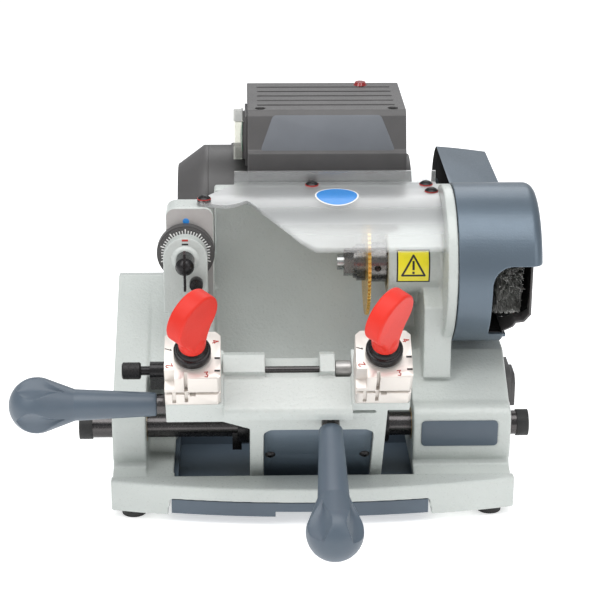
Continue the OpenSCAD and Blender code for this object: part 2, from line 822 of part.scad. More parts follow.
translate(shift) body_casting();
translate(shift) rubber_feet();
translate(shift) shaft_bushes();
translate(shift) spindle_bearings();
translate(shift) motor_housing();
translate(shift) motor_end_cover();
translate(shift) motor_foot();
translate(shift) control_box();
translate(shift) control_box_base();
translate(shift) box_screws();
translate(shift) indicator_lens();
translate(shift) switch_plate();
translate(shift) power_inlet();
translate(shift) badge_plate();
translate(shift) shield();
translate(shift) shield_screws();
translate(shift) shield_washers();
translate(shift) shield_spacer();
translate(shift) drum_cover();
translate(shift) brush_guard();
translate(shift) belt_cover();
translate(shift) drive_belt();
translate(shift) tracer_bracket();
translate(shift) tracer_lock_screw();
translate(shift) spindle_shaft();
translate(shift) inner_collar();
translate(shift) cutter();
translate(shift) outer_flange();
translate(shift) spindle_nut();
translate(shift) spindle_pulley();
translate(shift) wire_brush();
translate(shift) motor_shaft();
translate(shift) motor_pulley();
translate(shift) dial_ring();
translate(shift) tracer_barrel();
translate(shift) tracer_blade();
translate(shift) chip_tray();
translate(shift) rocker_switch();
translate(shift) switch_flap();
translate(shift) carriage_shaft();
translate(shift) shaft_caps();
translate(shift) stop_collars();
translate(shift) carriage();
translate(shift) cover_plate();
translate(shift) cover_screws();
translate(shift) lower_jaws();
translate(shift) clamp_studs();
translate(shift) jaw_springs();
translate(shift) left_handle();
translate(shift) front_handle();
translate(shift) handle_studs();
translate(shift) gauge_rod();
translate(shift) gauge_knob();
translate(shift) upper_jaw_left();
translate(shift) upper_jaw_right();
translate(shift) washer_stack_left();
translate(shift) washer_stack_right();
translate(shift) wing_knob_left();
translate(shift) wing_knob_right();
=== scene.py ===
"""Bench machine with a swinging two-jaw carriage, a tracer with a dial, and a spindle with a brush.

+X is the operator's right, +Y points away from the operator and +Z is up. Places come from
the CAD joints; sizes are in millimetres and are turned into metres by mm.
"""
import json
import math
import random
import bmesh
import bpy
from mathutils import Matrix, Vector


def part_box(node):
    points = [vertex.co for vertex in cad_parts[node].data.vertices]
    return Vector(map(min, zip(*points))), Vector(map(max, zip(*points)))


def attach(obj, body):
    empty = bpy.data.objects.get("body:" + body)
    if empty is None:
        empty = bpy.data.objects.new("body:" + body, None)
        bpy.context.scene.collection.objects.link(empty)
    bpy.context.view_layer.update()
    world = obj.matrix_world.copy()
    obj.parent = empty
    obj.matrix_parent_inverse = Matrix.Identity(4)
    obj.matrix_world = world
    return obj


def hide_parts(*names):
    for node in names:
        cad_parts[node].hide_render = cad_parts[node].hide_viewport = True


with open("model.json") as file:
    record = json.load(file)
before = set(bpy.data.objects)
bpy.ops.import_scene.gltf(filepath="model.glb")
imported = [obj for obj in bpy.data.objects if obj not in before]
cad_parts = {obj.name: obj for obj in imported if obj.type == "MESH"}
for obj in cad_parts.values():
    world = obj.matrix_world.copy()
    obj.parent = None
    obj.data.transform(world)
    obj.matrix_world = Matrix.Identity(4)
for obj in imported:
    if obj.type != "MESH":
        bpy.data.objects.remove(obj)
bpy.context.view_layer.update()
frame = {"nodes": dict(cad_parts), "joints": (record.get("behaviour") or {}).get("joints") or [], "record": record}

random.seed(7)
nodes = frame["nodes"]
joints = {joint["name"]: joint for joint in frame["joints"]}
mm = 0.001
SIDES = ("left", "right")


# ---------------------------------------------------------------- frames
def joint_point(name):
    return Vector(joints[name]["pos_m"])


SHAFT = joint_point("carriage_swing")
SPINDLE = joint_point("spindle_spin")
RIGHT = Vector((1, 0, 0))
CLAMP_UP = Vector(joints["jaw_left_lift"]["axis"]).normalized()
CARRIAGE_BACK = CLAMP_UP.cross(RIGHT).normalized()

# Heights along the clamp axis and the jaw's depth, in carriage mm
JAW_TOP = 126.5
JAW_MID_Y = -25
WING_FOOT = 137.35
WING_JOINT = 150


def matrix_of(origin, x_axis, y_axis, z_axis):
    rows = [(x_axis[i], y_axis[i], z_axis[i], origin[i]) for i in range(3)]
    return Matrix(rows + [(0, 0, 0, 1)])


def carriage_point(x, y, z):
    """Point in mm from the shaft, along the carriage's own axes."""
    return SHAFT + RIGHT * (x * mm) + CARRIAGE_BACK * (y * mm) + CLAMP_UP * (z * mm)


def carriage_frame(origin):
    return matrix_of(origin, RIGHT, CARRIAGE_BACK, CLAMP_UP)


def machine_point(x, y, z):
    """Point in mm; the origin lies 50 mm behind and 45 mm below the shaft joint."""
    return Vector((SHAFT.x + x * mm, SHAFT.y + (y + 50) * mm, SHAFT.z + (z - 45) * mm))


def axis_frame(origin, z_axis, x_hint):
    z_axis = Vector(z_axis).normalized()
    y_axis = z_axis.cross(Vector(x_hint)).normalized()
    return matrix_of(origin, y_axis.cross(z_axis).normalized(), y_axis, z_axis)


def front_frame(origin):
    """Local x to the right, y up and z towards the operator."""
    return axis_frame(origin, (0, -1, 0), (1, 0, 0))


def right_frame(origin):
    """Local z to the right."""
    return axis_frame(origin, (1, 0, 0), (0, 1, 0))


# ---------------------------------------------------------------- shader helpers
def new_material(name):
    material = bpy.data.materials.new(name)
    material.use_nodes = True
    tree = material.node_tree
    return material, tree, tree.nodes["Principled BSDF"]


def set_inputs(tree, node, **inputs):
    """Links sockets and stores values; an underscore stands for a space."""
    for key, value in inputs.items():
        socket = node.inputs[key.replace("_", " ")]
        if isinstance(value, bpy.types.NodeSocket):
            tree.links.new(value, socket)
        else:
            socket.default_value = value


def add_node(tree, kind, **inputs):
    node = tree.nodes.new("ShaderNode" + kind)
    set_inputs(tree, node, **inputs)
    return node


def object_coords(tree, stretch=(1, 1, 1)):
    coords = add_node(tree, "TexCoord").outputs["Object"]
    return add_node(tree, "Mapping", Scale=stretch, Vector=coords).outputs["Vector"]


def noise(tree, coords, scale, detail, roughness=0.5):
    node = add_node(tree, "TexNoise", Scale=scale, Detail=detail, Roughness=roughness,
                    Vector=coords)
    return node.outputs["Fac"]


def colour_ramp(tree, factor, low, high):
    node = add_node(tree, "ValToRGB", Fac=factor)
    for stop, position, colour in zip(node.color_ramp.elements, (0.35, 0.65), (low, high)):
        stop.position = position
        stop.color = (*colour, 1)
    return node.outputs["Color"]


def value_range(tree, factor, low, high):
    node = add_node(tree, "MapRange", From_Min=0.3, From_Max=0.7, To_Min=low, To_Max=high,
                    Value=factor)
    return node.outputs["Result"]


def bump_normal(tree, height, strength, depth):
    node = add_node(tree, "Bump", Strength=strength, Distance=depth, Height=height)
    return node.outputs["Normal"]


def mix_shaders(tree, factor, first, second):
    node = add_node(tree, "MixShader")
    for socket, source in zip(node.inputs, (factor, first, second)):
        tree.links.new(source, socket)
    return node.outputs[0]


# ---------------------------------------------------------------- materials
def surface(name, colour, roughness, metallic, grain_scale, grain_strength, grain_depth,
            tone_spread, tone_scale, roughness_spread,
            specular=0.5, coat=0.0, stretch=(1, 1, 1), cells=False):
    """Opaque surface: slow tone changes, fine grain and, with cells, a pebbled paint."""
    material, tree, bsdf = new_material(name)
    coords = object_coords(tree, stretch)
    tone = noise(tree, coords, tone_scale, detail=4.0, roughness=0.6)
    low, high = ([v * k for v in colour] for k in (1 - tone_spread, 1 + tone_spread))
    base = colour_ramp(tree, tone, low, high)
    grain = noise(tree, coords, grain_scale, detail=2.0)
    grain_roughness = value_range(tree, grain, roughness - roughness_spread,
                                  roughness + roughness_spread)
    set_inputs(tree, bsdf, Base_Color=base, Roughness=grain_roughness, Metallic=metallic,
               Specular_IOR_Level=specular)
    if coat:
        set_inputs(tree, bsdf, Coat_Weight=coat, Coat_Roughness=0.15)
    height = grain
    if cells:
        cell = add_node(tree, "TexVoronoi")
        cell.feature = "SMOOTH_F1"
        set_inputs(tree, cell, Scale=grain_scale * 0.55, Vector=coords)
        blend = add_node(tree, "Math")
        blend.operation = "MULTIPLY_ADD"
        blend.inputs[1].default_value = 0.9  # weight of the cells
        tree.links.new(cell.outputs["Distance"], blend.inputs[0])
        tree.links.new(grain, blend.inputs[2])
        height = blend.outputs[0]
    set_inputs(tree, bsdf, Normal=bump_normal(tree, height, grain_strength, grain_depth))
    return material


def clear_sheet(name, gloss_roughness, milk, milk_colour, tint):
    """See-through sheet with fresnel gloss and a cloudy share of milk."""
    material, tree, bsdf = new_material(name)
    through = add_node(tree, "BsdfTransparent", Color=(*tint, 1))
    gloss = add_node(tree, "BsdfGlossy", Roughness=gloss_roughness)
    fresnel = add_node(tree, "Fresnel", IOR=1.45)
    boost = add_node(tree, "Math")
    boost.operation = "MULTIPLY"
    boost.use_clamp = True
    boost.inputs[1].default_value = 3.4  # strengthens the edge reflections
    tree.links.new(fresnel.outputs[0], boost.inputs[0])
    sheet = mix_shaders(tree, boost.outputs[0], through.outputs[0], gloss.outputs[0])
    coords = object_coords(tree)
    cloud = noise(tree, coords, scale=26, detail=3)
    milk_factor = value_range(tree, cloud, milk * 0.8, milk * 1.2)
    scratches = noise(tree, coords, scale=900, detail=2)
    normal = bump_normal(tree, scratches, strength=0.04, depth=0.0001)
    set_inputs(tree, gloss, Normal=normal)
    set_inputs(tree, bsdf, Base_Color=(*milk_colour, 1), Roughness=0.5, Normal=normal)
    result = mix_shaders(tree, milk_factor, sheet, bsdf.outputs[0])
    tree.links.new(result, tree.nodes["Material Output"].inputs["Surface"])
    return material


def red_lens():
    material, tree, bsdf = new_material("red_lens")
    cloud = noise(tree, object_coords(tree), scale=400, detail=2)
    base = colour_ramp(tree, cloud, low=(0.30, 0.004, 0.004), high=(0.5, 0.01, 0.008))
    set_inputs(tree, bsdf, Base_Color=base, Roughness=0.12, Coat_Weight=0.6,
               Transmission_Weight=0.35)
    return material


# colour, roughness, metallic, grain scale, grain strength, grain depth (m),
# tone spread, tone scale, roughness spread
SURFACES = {
    "casting_paint": ((0.500, 0.530, 0.508), 0.32, 0.0, 700, 0.42, 0.0006, 0.03, 18, 0.06),
    "bluegrey_metal": ((0.105, 0.138, 0.172), 0.40, 0.55, 1300, 0.20, 0.0003, 0.05, 20, 0.07),
    "bluegrey_plastic": ((0.078, 0.104, 0.134), 0.40, 0.0, 1500, 0.10, 0.0002, 0.05, 22, 0.06),
    "dark_plastic": ((0.074, 0.071, 0.071), 0.46, 0.0, 1300, 0.22, 0.0003, 0.08, 30, 0.08),
    "motor_paint": ((0.070, 0.068, 0.068), 0.44, 0.1, 1100, 0.15, 0.0002, 0.08, 25, 0.08),
    "black_oxide": ((0.022, 0.021, 0.022), 0.30, 0.65, 1400, 0.08, 0.0001, 0.15, 60, 0.10),
    "bright_steel": ((0.52, 0.52, 0.51), 0.26, 1.0, 900, 0.06, 0.0001, 0.10, 80, 0.08),
    "nickel": ((0.70, 0.655, 0.61), 0.36, 0.45, 300, 0.03, 0.0001, 0.02, 30, 0.03),
    "gold_coat": ((0.74, 0.47, 0.12), 0.30, 0.75, 1200, 0.08, 0.0001, 0.10, 60, 0.08),
    "brush_wire": ((0.42, 0.42, 0.40), 0.42, 0.4, 1500, 0.1, 0.0001, 0.25, 300, 0.1),
    "red_plastic": ((0.66, 0.026, 0.014), 0.46, 0.0, 1300, 0.16, 0.0002, 0.05, 30, 0.06),
    "red_fibre": ((0.36, 0.015, 0.012), 0.5, 0.0, 1300, 0.1, 0.0001, 0.08, 60, 0.06),
    "rubber": ((0.016, 0.016, 0.016), 0.62, 0.0, 1200, 0.2, 0.0002, 0.15, 60, 0.1),
    "belt_rubber": ((0.018, 0.018, 0.018), 0.7, 0.0, 900, 0.3, 0.0003, 0.15, 60, 0.1),
    "brass_bush": ((0.45, 0.30, 0.12), 0.32, 0.9, 900, 0.08, 0.0001, 0.1, 60, 0.08),
    "green_plastic": ((0.004, 0.30, 0.17), 0.25, 0.0, 900, 0.03, 0.0001, 0.05, 60, 0.04),
    "white_ink": ((0.78, 0.78, 0.76), 0.5, 0.0, 900, 0.05, 0.0001, 0.03, 60, 0.05),
    "black_ink": ((0.018, 0.018, 0.018), 0.5, 0.0, 900, 0.05, 0.0001, 0.1, 60, 0.05),
    "red_ink": ((0.42, 0.03, 0.02), 0.5, 0.0, 900, 0.05, 0.0001, 0.1, 60, 0.05),
    "yellow_label": ((0.88, 0.76, 0.01), 0.38, 0.0, 900, 0.03, 0.0001, 0.03, 60, 0.05),
    "blue_label": ((0.015, 0.22, 0.62), 0.38, 0.0, 900, 0.03, 0.0001, 0.05, 60, 0.05),
    "panel_label": ((0.128, 0.138, 0.154), 0.45, 0.0, 1500, 0.10, 0.0001, 0.05, 30, 0.05),
    "badge_ink": ((0.060, 0.080, 0.105), 0.36, 0.0, 1500, 0.05, 0.0001, 0.06, 30, 0.05),
    # Near-black paint with almost no reflection: painted shade for places that lie in shadow
    "painted_shade_black": ((0.012, 0.012, 0.012), 0.9, 0.0, 900, 0.02, 0.0001, 0.1, 60, 0.03),
    "dark_steel": ((0.20, 0.19, 0.185), 0.26, 1.0, 900, 0.05, 0.0001, 0.08, 60, 0.05),
    "shaft_steel": ((0.085, 0.080, 0.080), 0.24, 0.9, 900, 0.05, 0.0001, 0.10, 60, 0.06),
    "face_grey": ((0.36, 0.345, 0.335), 0.42, 0.2, 400, 0.06, 0.0001, 0.05, 60, 0.05),
    "ground_steel": ((0.36, 0.35, 0.34), 0.42, 0.75, 500, 0.16, 0.0002, 0.12, 130, 0.1),
}
SURFACE_EXTRAS = {
    "casting_paint": dict(coat=0.25, cells=True),
    "bluegrey_metal": dict(coat=0.2, cells=True),
    "bright_steel": dict(stretch=(0.15, 1, 1)),
    "red_plastic": dict(specular=0.28),
    "green_plastic": dict(coat=0.3),
    "yellow_label": dict(coat=0.3),
    "blue_label": dict(coat=0.3),
    "badge_ink": dict(coat=0.2),
    "painted_shade_black": dict(specular=0.02),
    "ground_steel": dict(stretch=(0.3, 1, 1)),
}
materials = {name: surface(name, *values, **SURFACE_EXTRAS.get(name, {}))
             for name, values in SURFACES.items()}
materials["shield_clear"] = clear_sheet(
    "shield_clear", gloss_roughness=0.30, milk=0.10, milk_colour=(0.86, 0.88, 0.88),
    tint=(0.98, 0.99, 0.99))
materials["flap_clear"] = clear_sheet(
    "flap_clear", gloss_roughness=0.1, milk=0.14, milk_colour=(0.80, 0.80, 0.72),
    tint=(0.98, 0.98, 0.94))
materials["red_lens"] = red_lens()

# CAD pieces take their slot's material, apart from these
LOOKS = {part["node"]: part["material_slot"] for part in frame["record"]["subparts"]}
LOOKS.update({
    "inner_collar": "dark_steel", "outer_flange": "dark_steel", "spindle_nut": "dark_steel",
    "carriage_shaft": "shaft_steel", "tracer_blade": "black_oxide",
    "handle_studs": "shaft_steel", "gauge_rod": "shaft_steel",
})
for name, obj in nodes.items():
    obj.data.materials.clear()
    obj.data.materials.append(materials[LOOKS[name]])


# ---------------------------------------------------------------- modifiers
def add_modifier(obj, name, kind, **settings):
    modifier = obj.modifiers.new(name, kind)
    for key, value in settings.items():
        setattr(modifier, key, value)


def shade_smooth(obj):
    for polygon in obj.data.polygons:
        polygon.use_smooth = True


def smooth(obj, angle):
    shade_smooth(obj)
    add_modifier(obj, "edge_split", "EDGE_SPLIT", split_angle=math.radians(angle),
                 use_edge_sharp=False)


def weld(obj):
    add_modifier(obj, "weld", "WELD", merge_threshold=1e-6)


def add_bevel(obj, width, segments, angle):
    add_modifier(obj, "bevel", "BEVEL", width=width * mm, segments=segments,
                 limit_method="ANGLE", angle_limit=math.radians(angle))


def soften(obj, voxel, passes, ratio=None):
    """Rounds every edge of a casting or moulding."""
    weld(obj)
    add_modifier(obj, "remesh", "REMESH", mode="VOXEL", voxel_size=voxel * mm)
    add_modifier(obj, "soft", "SMOOTH", factor=0.5, iterations=passes)
    if ratio:
        add_modifier(obj, "lean", "DECIMATE", ratio=ratio)
    add_modifier(obj, "shade", "EDGE_SPLIT", split_angle=math.radians(179))
    shade_smooth(obj)


def bevel_node(name, width, segments, angle):
    weld(nodes[name])
    add_bevel(nodes[name], width, segments, angle)
    smooth(nodes[name], 40)


# ---------------------------------------------------------------- mesh helpers
# A mesh is a pair (vertices in m, faces). Sizes handed to these helpers are in mm.
def make(name, mesh, material, body, smooth_angle=35, bevel=0, replaces=()):
    data = bpy.data.meshes.new(name)
    vertices, faces = mesh
    data.from_pydata([tuple(v) for v in vertices], [], faces)
    data.validate()
    data.update()
    work = bmesh.new()
    work.from_mesh(data)
    bmesh.ops.recalc_face_normals(work, faces=work.faces)
    work.to_mesh(data)
    work.free()
    obj = bpy.data.objects.new(name, data)
    bpy.context.scene.collection.objects.link(obj)
    data.materials.append(materials[material])
    if bevel:
        add_bevel(obj, bevel, segments=2, angle=35)
    if smooth_angle:
        smooth(obj, smooth_angle)
    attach(obj, body)
    if replaces:
        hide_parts(*replaces)
    return obj


def join(meshes):
    vertices, faces = [], []
    for part_vertices, part_faces in meshes:
        start = len(vertices)
        vertices += part_vertices
        faces += [[i + start for i in face] for face in part_faces]
    return vertices, faces


def box(place, x0, x1, y0, y1, z0, z1):
    vertices = [place @ Vector((x * mm, y * mm, z * mm))
                for z in (z0, z1) for y in (y0, y1) for x in (x0, x1)]
    return vertices, [[0, 2, 3, 1], [4, 5, 7, 6], [0, 1, 5, 4],
                      [2, 6, 7, 3], [0, 4, 6, 2], [1, 3, 7, 5]]


def ring(place, radius, z, count):
    angles = [2 * math.pi * i / count for i in range(count)]
    return [place @ Vector((radius * mm * math.cos(a), radius * mm * math.sin(a), z * mm))
            for a in angles]


def tube_faces(rings, n):
    """Quads between successive rings of n vertices."""
    return [[k * n + i, k * n + (i + 1) % n, (k + 1) * n + (i + 1) % n, (k + 1) * n + i]
            for k in range(rings - 1) for i in range(n)]


def cap_faces(rings, n):
    return [list(range(n))[::-1], [(rings - 1) * n + i for i in range(n)]]


def solid_faces(rings, n):
    return tube_faces(rings, n) + cap_faces(rings, n)


def prism_faces(n):
    return cap_faces(2, n) + tube_faces(2, n)


def lathe(place, profile, count=64):
    """Spins the profile, a list of (radius, z), about local z."""
    vertices = [v for radius, z in profile for v in ring(place, radius, z, count)]
    return vertices, solid_faces(len(profile), count)


# ---------------------------------------------------------------- ball handles
HANDLE_LENGTH = 104.5
HANDLE_BALL_R = 20.0
HANDLE_LIP = 1.4        # rounded start of the neck
HANDLE_NECK = 57        # where the gentle taper ends and the flare begins
HANDLE_SIDES = 144
SCALLOP_START, SCALLOP_LENGTH = 62.5, 35.5
STUD_HOLE_R, STUD_HOLE_DEPTH = 4.05, 20.0


def handle_radius(z):
    if z > 77:
        ball_z = z - (HANDLE_LENGTH - HANDLE_BALL_R)
        return math.sqrt(max(0, HANDLE_BALL_R ** 2 - ball_z ** 2))
    if z > HANDLE_NECK:
        return 11.0 + (z - HANDLE_NECK) * 0.375
    if z > HANDLE_LIP:
        return 8.4 + (z - HANDLE_LIP) * 0.0505
    return 7.2 + 1.2 * math.sin(math.pi / 2 * z / HANDLE_LIP)


def scallop_depth(z, angle, turn):
    """Depth of the four hollows around the ball."""
    if not SCALLOP_START < z < SCALLOP_START + SCALLOP_LENGTH:
        return 0
    along = (z - SCALLOP_START) / SCALLOP_LENGTH
    half_angle = 0.54 * math.sin(math.pi * along ** 1.75) ** 0.8 + 1e-6
    middle_depth = 5.0 * math.sin(math.pi * along ** 1.5) ** 0.7
    depth = 0
    for quarter in range(4):
        offset = (angle - turn - quarter * math.pi / 2 + math.pi) % (2 * math.pi) - math.pi
        if abs(offset) < half_angle:
            depth = max(depth, middle_depth * (1 - (offset / half_angle) ** 2))
    return depth


def handle_mesh(place, turn):
    n = HANDLE_SIDES
    stations = [0.0, 0.35, 0.8, HANDLE_LIP]
    stations += [HANDLE_LIP + (HANDLE_NECK - HANDLE_LIP) * k / 16 for k in range(1, 17)]
    stations += [HANDLE_NECK + (HANDLE_LENGTH - HANDLE_NECK) * (1 - (1 - k / 110) ** 1.25)
                 for k in range(1, 111)]
    vertices = []
    for z in stations:
        for i in range(n):
            a = 2 * math.pi * i / n
            radius = max(0.02, handle_radius(z) - scallop_depth(z, a, turn))
            vertices.append(place @ Vector((radius * mm * math.cos(a),
                                            radius * mm * math.sin(a), z * mm)))
    faces = tube_faces(len(stations), n) + cap_faces(len(stations), n)[1:]
    # Annular neck face and the blind stud hole
    mouth = len(vertices)
    floor = mouth + n
    for z in (0.0, STUD_HOLE_DEPTH):
        vertices += ring(place, STUD_HOLE_R, z, n)
    for i in range(n):
        j = (i + 1) % n
        faces.append([i, mouth + i, mouth + j, j])
        faces.append([mouth + i, floor + i, floor + j, mouth + j])
    faces.append([floor + i for i in range(n)][::-1])
    return vertices, faces


low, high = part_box("left_handle")
left_place = axis_frame((high.x, (low.y + high.y) / 2, (low.z + high.z) / 2),
                        (-1, 0, 0), CARRIAGE_BACK)
front_place = axis_frame(carriage_point(10.4, -51.2, 72), -CARRIAGE_BACK, RIGHT)
for side, place, turn in (("left", left_place, 8), ("front", front_place, 38)):
    make(side + "_handle_grip", handle_mesh(place, math.radians(turn)), "bluegrey_plastic",
         "carriage", smooth_angle=24, replaces=(side + "_handle",))

# ---------------------------------------------------------------- wing knobs
WING_TURN = math.radians(50)
PADDLE_R, PADDLE_MID_Z = 20.0, 33.7
PADDLE_HALF_THICK, PADDLE_EDGE_R = 6.5, 1.9
PADDLE_SHIFT = -1.2     # moves the paddle off the neck's axis, along its thickness
# x, z up the right side of the paddle, from the neck to the round part
PADDLE_SIDE = [(6.6, 0.6), (7.4, 5), (8.6, 9.5), (10.6, 14.2), (13.2, 18.7)]
# radius, z
WING_NECK = [(8.4, 0), (9.3, 0.7), (9.6, 4), (9.2, 8), (7.6, 12), (4.0, 15), (0.6, 16)]


def paddle_outline():
    end_x, end_z = PADDLE_SIDE[-1]
    start = math.atan2(end_z - PADDLE_MID_Z, end_x)
    angles = [start + (math.pi - 2 * start) * k / 60 for k in range(61)]
    arc = [(PADDLE_R * math.cos(a), PADDLE_MID_Z + PADDLE_R * math.sin(a)) for a in angles]
    return PADDLE_SIDE + arc + [(-x, z) for x, z in reversed(PADDLE_SIDE)]


def paddle_mesh(place):
    outline = paddle_outline()
    n = len(outline)
    normals = []
    for i in range(n):
        (xa, za), (xb, zb) = outline[i - 1], outline[(i + 1) % n]
        length = math.hypot(xb - xa, zb - za)
        normals.append(((zb - za) / length, -(xb - xa) / length))
    # y across the thickness, inset of the outline
    layers = [(-PADDLE_HALF_THICK, PADDLE_EDGE_R)]
    layers += [(-PADDLE_HALF_THICK + PADDLE_EDGE_R * (1 - math.cos(math.pi / 12 * k)),
                PADDLE_EDGE_R * (1 - math.sin(math.pi / 12 * k))) for k in range(1, 7)]
    layers += [(-y, inset) for y, inset in reversed(layers)]
    vertices = []
    for y, inset in layers:
        for (px, pz), (nx, nz) in zip(outline, normals):
            x, z = px - nx * inset, pz - nz * inset
            vertices.append(place @ Vector((x * mm, y * mm, z * mm)))
    return vertices, solid_faces(len(layers), n)


def wing_knob(side):
    place = (carriage_frame(joint_point("wing_%s_turn" % side))
             @ Matrix.Rotation(WING_TURN, 4, "Z")
             @ Matrix.Translation((0, 0, (WING_FOOT - WING_JOINT) * mm)))
    paddle = paddle_mesh(place @ Matrix.Translation((0, PADDLE_SHIFT * mm, 0)))
    return make("wing_knob_%s_grip" % side, join([paddle, lathe(place, WING_NECK, 48)]),
                "red_plastic", "wing_" + side, smooth_angle=0,
                replaces=("wing_knob_" + side,))


wing_knobs = [wing_knob(side) for side in SIDES]

# ---------------------------------------------------------------- edges of the pieces
for knob in wing_knobs:
    soften(knob, voxel=0.42, passes=2, ratio=0.5)
# node, voxel in mm, smoothing passes
for name, voxel, passes in (("body_casting", 1.1, 5), ("carriage", 0.55, 4),
                            ("tracer_bracket", 0.45, 4), ("drum_cover", 0.7, 4),
                            ("motor_foot", 0.8, 4), ("control_box", 0.55, 5)):
    soften(nodes[name], voxel, passes)
bevel_node("belt_cover", width=2.2, segments=4, angle=25)
for name in ("upper_jaw_left", "upper_jaw_right", "lower_jaws"):
    bevel_node(name, width=0.35, segments=2, angle=30)
for name in ("cover_plate", "badge_plate", "power_inlet", "switch_plate", "rocker_switch",
             "motor_end_cover", "shaft_caps", "stop_collars", "handle_studs",
             "brush_guard", "tracer_lock_screw"):
    bevel_node(name, width=0.5, segments=2, angle=40)
for obj in nodes.values():
    if not obj.modifiers and not obj.hide_render:
        smooth(obj, 30)


def second_material(name, material, chosen):
    """Gives another material to the faces whose centre and normal pass the test."""
    obj = nodes[name]
    obj.data.materials.append(materials[material])
    index = len(obj.data.materials) - 1
    turn = obj.matrix_world.to_3x3()
    for polygon in obj.data.polygons:
        centre = obj.matrix_world @ polygon.center
        if chosen(centre, (turn @ polygon.normal).normalized()):
            polygon.material_index = index


second_material("gauge_rod", "black_oxide", lambda centre, _: centre.x < SHAFT.x - 0.1075)
second_material("gauge_rod", "ground_steel", lambda centre, _: centre.x > SHAFT.x + 0.0140)
# The belt cover's faces that point left get painted shade, a flat near-black
second_material("belt_cover", "painted_shade_black", lambda _, normal: normal.x < -0.7)


# ---------------------------------------------------------------- face behind the dial
def top_rounded(width, height, radius, steps=8):
    """Rectangle outline with its two top corners rounded."""
    points = [(-width / 2, -height / 2), (width / 2, -height / 2)]
    for side, start in ((1, 0), (-1, math.pi / 2)):
        for k in range(steps + 1):
            a = start + math.pi / 2 * k / steps
            points.append((side * (width / 2 - radius) + radius * math.cos(a),
                           height / 2 - radius + radius * math.sin(a)))
    return points


def machined_face():
    place = front_frame(machine_point(-91, -9, 166))
    outline = top_rounded(width=34.6, height=74.6, radius=6.4)
    vertices = [place @ Vector((x * mm, y * mm, z * mm))
                for z in (-0.6, 0.14) for x, y in outline]
    make("machined_face", (vertices, prism_faces(len(outline))), "face_grey", "frame",
         bevel=0.12)


machined_face()
# Lathe profiles are radius, z
make("blue_dot", lathe(front_frame(machine_point(-93.6, -9, 193.6)),
                       [(0.4, -0.2), (2.4, -0.2), (2.4, 0.2), (0.4, 0.26)], 32),
     "blue_label", "frame")
bracket_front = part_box("tracer_bracket")[0].y
dial_joint = joint_point("dial_turn")
make("bracket_hub", lathe(front_frame((dial_joint.x, bracket_front, dial_joint.z)),
                          [(7.0, -0.5), (10.9, -0.5), (10.3, 0.1), (9.6, 0.6), (8.8, 1.3),
                           (8.0, 1.8), (7.5, 1.9), (7.0, 1.9)]),
     "casting_paint", "frame", smooth_angle=60)

# ---------------------------------------------------------------- washer stacks
# radius, height above the jaw
THIN_WASHER = [(4.1, 0.05), (12.9, 0.05), (13.1, 0.3), (13.1, 1.1), (12.9, 1.3), (4.1, 1.3)]
SPHERICAL_WASHER = [
    (4.1, 1.3), (12.4, 1.3), (12.9, 1.7), (13.0, 2.4), (13.0, 6.6), (12.6, 7.3), (11.9, 7.6),
    (11.2, 7.7), (11.0, 7.5), (10.7, 8.2), (10.2, 9.2), (9.2, 10.2), (8.3, 10.7), (4.1, 10.8)]
for side in SIDES:
    place = (carriage_frame(joint_point("wing_%s_turn" % side))
             @ Matrix.Translation((0, 0, (JAW_TOP - WING_JOINT) * mm)))
    make("thin_washer_" + side, lathe(place, THIN_WASHER, 72), "ground_steel",
         "jaw_" + side, smooth_angle=30)
    make("spherical_washer_" + side, lathe(place, SPHERICAL_WASHER, 72), "black_oxide",
         "jaw_" + side, smooth_angle=40, replaces=("washer_stack_" + side,))


# ---------------------------------------------------------------- dial and index marks
def dial_ticks(count=50):
    low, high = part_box("dial_ring")
    face = front_frame(((low.x + high.x) / 2, low.y, (low.z + high.z) / 2))
    ticks = []
    for i in range(count):
        inner, outer = (15.0, 19.6) if i % 5 == 0 else (15.4, 18.3)
        place = face @ Matrix.Rotation(math.radians(360 / count * i + 90), 4, "Z")
        ticks.append(box(place, inner, outer, -0.44, 0.44, -0.5, 0.06))
    make("dial_ticks", join(ticks), "white_ink", "dial")


dial_ticks()
# name, height, mark width, mark height, material
for name, z, width, height, ink in (("mark_red", 185.3, 4.6, 1.6, "red_ink"),
                                    ("mark_black", 182.2, 4.8, 1.3, "black_ink")):
    point = machine_point(-94, 0, z)
    place = Matrix.Translation((point.x, bracket_front, point.z))
    make(name, box(place, -width / 2, width / 2, -0.12, 0.6, -height / 2, height / 2),
         ink, "frame", bevel=0.1)

# ---------------------------------------------------------------- jaw numerals
# x, y of each pen stroke
GLYPHS = {
    "1": [(0, 1.2), (0.5, 1.6), (0.5, -1.6)],
    "2": [(-0.8, 0.9), (-0.4, 1.6), (0.5, 1.6), (0.8, 0.9), (-0.8, -1.6), (0.9, -1.6)],
    "3": [(-0.8, 1.6), (0.8, 1.6), (0, 0.3), (0.8, -0.6), (0.3, -1.6), (-0.8, -1.3)],
    "4": [(0.4, -1.6), (0.4, 1.6), (-0.9, -0.6), (0.9, -0.6)],
}
GLYPH_SCALE = 1.3
PEN = 0.26  # half the stroke's width
# x, y from the jaw's middle, turn in degrees, numeral
NUMERALS = ((-16.0, -9.0, 115, "2"), (9.8, -16.4, 5, "3"),
            (15.8, 11.5, -70, "4"), (-16.6, 5.5, -110, "1"))


def glyph(place, points):
    strokes = []
    for (x0, y0), (x1, y1) in zip(points, points[1:]):
        dx, dy = x1 - x0, y1 - y0
        start = (place @ Matrix.Translation((x0 * mm, y0 * mm, 0))
                 @ Matrix.Rotation(math.atan2(dy, dx), 4, "Z"))
        strokes.append(box(start, -PEN, math.hypot(dx, dy) + PEN, -PEN, PEN, -0.3, 0.12))
    return strokes


